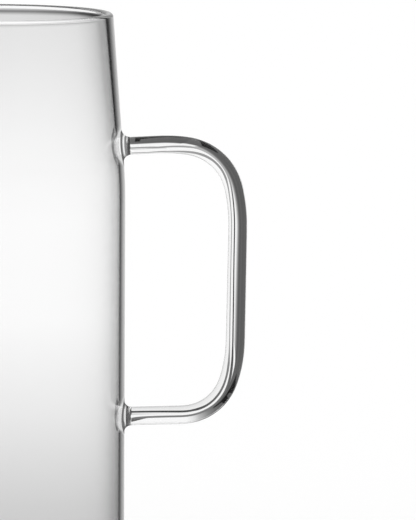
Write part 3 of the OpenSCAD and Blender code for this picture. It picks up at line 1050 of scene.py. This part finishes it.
OUTER_TONES = [(50, 0.05), (60, 0.06), (68, 0.1), (85, 0.2), (97, 0.36), (160, 0.36), (180, 0.3),
               (205, 0.35), (240, 0.3)]
INNER_HALF = [(60, 4), (85, 3.5), (100, 2.7), (160, 2.7), (200, 3)]
OUTER_HALF = [(50, 5.2), (70, 4.4), (100, 4), (170, 4), (200, 6), (240, 7)]
# A pale card behind the rim: how dark its line is by height and to the side, the grey strip round the line
# by its limits in height and its tone to the side, and how far to the side the card shows
RIM_LINE = [(226, 0), (226.4, 0.15), (226.8, 0.4), (227.3, 0.76), (227.7, 1), (228.1, 0.92), (228.5, 0.53),
            (228.9, 0.13), (229.2, 0)]
RIM_LINE_DEPTH = [(0, 0.7), (20, 0.7), (40, 0.8), (48, 0.95), (57.6, 1), (76, 1)]
RIM_STRIP = (223.0, 229.2)
RIM_SIDE = [(-60, 0.7), (0, 0.76), (14, 0.75), (24, 0.73), (34, 0.70), (45, 0.62), (52, 0.48), (57.6, 0.26),
            (76, 0.2)]
RIM_CARD_END = 76
# How light through both sides of the vessel is dimmed by height, in a line that bends up with the square of
# the distance to the side, by this share, and comes in from the left
RIM_DIP = [(222.2, 1), (222.7, 0.93), (223.1, 0.83), (223.4, 0.7), (223.75, 0.62), (224.2, 0.64),
           (224.6, 0.95)]
RIM_DIP_BEND, RIM_DIP_START = 0.001, (-45, -12)
# How far light comes from the handle to that card, in metres, as limits; such light doesn't see it low down
FROM_HANDLE = (0.19, 0.262)
# The tone of the floor, how much it glows, how far it reaches and its height in millimetres
FLOOR_TONE, FLOOR_GLOW, FLOOR_REACH, FLOOR_HEIGHT = 0.8, 0.27, 6000, -0.5
# The strength of the light from above, and its width and tilts in degrees
LAMP_STRENGTH, LAMP_WIDTH, LAMP_TILT = 1.4, 28, (-12, -22, 0)


def stage_piece(name, corners, faces, material, seen_by=("transmission",)):
    """A stage piece, with its corners in millimetres, that only some kinds of light see."""
    mesh = bpy.data.meshes.new(name)
    mesh.from_pydata((np.array(corners) * MM).tolist(), [], faces)
    mesh.materials.append(material)
    made = bpy.data.objects.new(name, mesh)
    bpy.context.scene.collection.objects.link(made)
    for kind in ("camera", "diffuse", "glossy", "transmission", "shadow", "volume_scatter"):
        setattr(made, "visible_" + kind, kind in seen_by)


def loop_card(name, places, halves, tones):
    """A flat band along a smooth line through places in the card plane.

    Between two places the line is the cubic that starts and ends along the chord of their neighbours. The
    band reaches to each side of it by the half width at that height.
    """
    points = np.array(places, float)
    points = np.concatenate([[2 * points[0] - points[1]], points, [2 * points[-1] - points[-2]]])
    t = np.linspace(0, 1, 9)[:-1, None]
    before, start, end, after = (points[k:len(points) - 3 + k, None] for k in range(4))
    line = 0.5 * (2 * start + (end - before) * t + (2 * before - 5 * start + 4 * end - after) * t ** 2
                  + (3 * start - before - 3 * end + after) * t ** 3)
    line = line.reshape(-1, 2)
    along = np.gradient(line, axis=0)
    along /= np.linalg.norm(along, axis=1, keepdims=True)
    across = np.stack([-along[:, 1], along[:, 0]], axis=1) * np.interp(line[:, 1], *zip(*halves))[:, None]
    edges = np.concatenate([line + across, line - across])
    corners = np.stack([edges[:, 0], np.full(len(edges), CARD_PLANE - 1), edges[:, 1]], axis=1)
    count = len(line)
    first = np.arange(count - 1)
    faces = np.stack([first + count, first + count + 1, first + 1, first], axis=1).tolist()
    stage_piece(name, corners, faces, card_material(name, lambda graph, x, y, z: graph.curve(z, tones)))


def card_material(name, tone, unseen=None, tint=None):
    """An even light that only shows through one solid thickness of glass, and from the card's front.

    Tone gives its grey. Unseen gives more light that doesn't see the card, and tint the colour that light
    takes on which goes through it after both sides of the vessel.
    """
    material, graph, surface = new_material(name)
    rays = graph.add("ShaderNodeLightPath").outputs
    place = graph.place()
    deep = graph.maths("GREATER_THAN", rays["Transmission Depth"], BOTH_WALLS_CARD)
    behind = graph.add("ShaderNodeNewGeometry").outputs["Backfacing"]
    turned = graph.maths("GREATER_THAN", graph.maths("MAXIMUM", rays["Glossy Depth"], behind), ANY)
    gone = graph.maths("MAXIMUM", deep, turned)
    if unseen:
        gone = graph.maths("MAXIMUM", gone, unseen(graph, rays["Ray Length"], *place))
    passed = graph.mixed(deep, 1.0, tint(graph, *place)) if tint else 1.0
    clear = graph.add("ShaderNodeBsdfTransparent", Color=passed).outputs["BSDF"]
    graph.plug(surface, graph.blend(gone, graph.light(tone(graph, *place)), clear))
    return material


def grey_card_tone(graph, x, y, z):
    """The grey card: darker to the right, with a soft edge round its corner."""
    right = graph.maths("MAXIMUM", graph.maths("SUBTRACT", x, CARD_CORNER[0]), 0)
    above = graph.maths("MAXIMUM", graph.maths("SUBTRACT", z, CARD_CORNER[1]), 0)
    edge = graph.curve(graph.root_of_squares(right, above), CARD_EDGE)
    return graph.mixed(edge, graph.curve(x, CARD_GREY), 1.0)


def shelf_tone(graph, x, y, z):
    """The shelf: grey, with a black line along its front and its left edge and a soft far edge."""
    left = graph.times(graph.within(x, *SHELF_LEFT[0]), graph.within(y, *SHELF_LEFT[1]))
    front = graph.times(graph.within(x, *SHELF_FRONT),
                        graph.within(y, SHELF_FRONT_START, graph.curve(x, SHELF_FRONT_END, 100)))
    grey = graph.times(graph.curve(x, CARD_GREY), SHELF_SHARE)
    grey = graph.mixed(graph.maths("MAXIMUM", left, front), grey, CARD_BLACK)
    return graph.mixed(graph.between(y, *SHELF_EDGE), grey, 1.0)


def rim_card_tone(graph, x, y, z):
    """White, with the grey strip that shows over the near rim and the dark line in it."""
    line = graph.times(graph.curve(z, RIM_LINE), graph.curve(x, RIM_LINE_DEPTH))
    strip = graph.times(graph.curve(x, RIM_SIDE), graph.maths("SUBTRACT", 1, line))
    return graph.mixed(graph.within(z, *RIM_STRIP), 1.0, strip)


def rim_card_unseen(graph, length, x, y, z):
    """Past the card's end, and low down for light that comes from as far as the handle."""
    low = graph.times(graph.maths("LESS_THAN", z, RIM_DIP[0][0]), graph.within(length, *FROM_HANDLE))
    return graph.maths("MAXIMUM", graph.maths("GREATER_THAN", x, RIM_CARD_END), low)


def rim_card_tint(graph, x, y, z):
    """The dip in light that goes through both sides of the vessel."""
    bent = graph.maths("SUBTRACT", z, graph.times(graph.times(x, x), RIM_DIP_BEND))
    return graph.mixed(graph.between(x, *RIM_DIP_START), 1.0, graph.curve(bent, RIM_DIP))


def studio_cards():
    """The rim card, the grey card behind the grip, the shelf under the upper arm and the two loops."""
    y, z = CARD_PLANE, SHELF_HEIGHT
    whole = [(0, 1, 2, 3)]
    stage_piece("rim_card", [(-60, 200, 155), (95, 200, 155), (95, 200, 245), (-60, 200, 245)], whole,
                card_material("Rim card", rim_card_tone, rim_card_unseen, rim_card_tint))
    stage_piece("card", [(83, y, 88.5), (110, y, 104.5), (110, y, 182), (83, y, 182)], whole,
                card_material("Grey card", grey_card_tone))
    stage_piece("shelf", [(57, 9, z), (78.5, 9, z), (78.5, SHELF_EDGE[1], z), (57, SHELF_EDGE[1], z)], whole,
                card_material("Grey shelf", shelf_tone))
    loop_card("loop_inner", INNER_LOOP, INNER_HALF, INNER_TONES)
    loop_card("loop_outer", OUTER_LOOP, OUTER_HALF, OUTER_TONES)


def pale_floor():
    """A pale floor that glows a little, so that it is white to the camera and keeps the soft shadow."""
    material, graph, surface = new_material("Pale floor")
    both = graph.add("ShaderNodeAddShader")
    graph.plug(both.inputs[0], graph.add("ShaderNodeBsdfDiffuse", Color=FLOOR_TONE).outputs["BSDF"])
    graph.plug(both.inputs[1], graph.light(FLOOR_GLOW))
    graph.plug(surface, both.outputs["Shader"])
    far, z = FLOOR_REACH, FLOOR_HEIGHT
    stage_piece("floor", [(-far, -far, z), (far, -far, z), (far, far, z), (-far, far, z)], [(0, 1, 2, 3)],
                material, ("camera", "diffuse", "shadow"))


def overhead_light():
    """A broad soft light from above, which only the floor sees."""
    lamp = bpy.data.lights.new("Overhead soft light", "SUN")
    lamp.energy = LAMP_STRENGTH
    lamp.angle = math.radians(LAMP_WIDTH)
    made = bpy.data.objects.new("Overhead soft light", lamp)
    made.rotation_euler = tuple(map(math.radians, LAMP_TILT))
    for kind in ("camera", "glossy", "transmission"):
        setattr(made, "visible_" + kind, False)
    bpy.context.scene.collection.objects.link(made)


def aimed_camera(stage):
    """The camera, aimed and turned about its line of sight, whose picture has the wanted height."""
    camera = bpy.data.cameras.new("Camera")
    camera.sensor_width = 36
    camera.clip_end = 100
    made = bpy.data.objects.new("Camera", camera)
    bpy.context.scene.collection.objects.link(made)
    made.location = (stage.camera_side, -stage.distance, stage.camera_height)
    away = Vector((stage.aim_x, 0, stage.aim_z)) - made.location
    made.rotation_euler = (away.to_track_quat("-Z", "Y") @ Quaternion((0, 0, 1), stage.roll)).to_euler()
    camera.lens = camera.sensor_width * away.length / stage.frame_height
    bpy.context.scene.camera = made


class PITCHER_OT_stage(bpy.types.Operator):
    """Build the studio with its cards, the pale floor, the soft light and the camera"""
    bl_idname = "pitcher.stage"
    bl_label = "Stage"

    def execute(self, context):
        world_light()
        studio_cards()
        pale_floor()
        overhead_light()
        aimed_camera(context.scene.pitcher_stage)

        context.scene.view_settings.view_transform = "Standard"
        cycles = context.scene.cycles
        cycles.max_bounces = 24
        cycles.transmission_bounces = 24
        cycles.glossy_bounces = 16
        cycles.transparent_max_bounces = 24
        cycles.caustics_reflective = False
        cycles.caustics_refractive = False
        cycles.use_denoising = True
        return {"FINISHED"}


# The add-on

GROUPS = (("pitcher_vessel", PITCHER_PG_vessel), ("pitcher_handle", PITCHER_PG_handle),
          ("pitcher_collars", PITCHER_PG_collars), ("pitcher_glass", PITCHER_PG_glass),
          ("pitcher_stage", PITCHER_PG_stage))
STEPS = (PITCHER_OT_vessel, PITCHER_OT_handle, PITCHER_OT_collars, PITCHER_OT_stage)


class PITCHER_PT_panel(bpy.types.Panel):
    """Lists the steps and their sizes"""
    bl_idname = "PITCHER_PT_panel"
    bl_label = "Glass pitcher"
    bl_space_type = "VIEW_3D"
    bl_region_type = "UI"
    bl_category = "Pitcher"

    def draw(self, context):
        for step in STEPS:
            self.layout.operator(step.bl_idname)
        for name, group in GROUPS:
            box = self.layout.box()
            for key in group.__annotations__:
                box.prop(getattr(context.scene, name), key)


def register():
    for _, group in GROUPS:
        bpy.utils.register_class(group)
    for step in STEPS + (PITCHER_PT_panel,):
        bpy.utils.register_class(step)
    for name, group in GROUPS:
        setattr(bpy.types.Scene, name, bpy.props.PointerProperty(type=group))


def unregister():
    for name, _ in GROUPS:
        delattr(bpy.types.Scene, name)
    for step in STEPS + (PITCHER_PT_panel,):
        bpy.utils.unregister_class(step)
    for _, group in GROUPS:
        bpy.utils.unregister_class(group)


def main():
    """Build every piece and the stage."""
    register()
    bpy.ops.pitcher.vessel()
    bpy.ops.pitcher.handle()
    bpy.ops.pitcher.collars()
    bpy.ops.pitcher.stage()


if __name__ == "__main__":
    main()
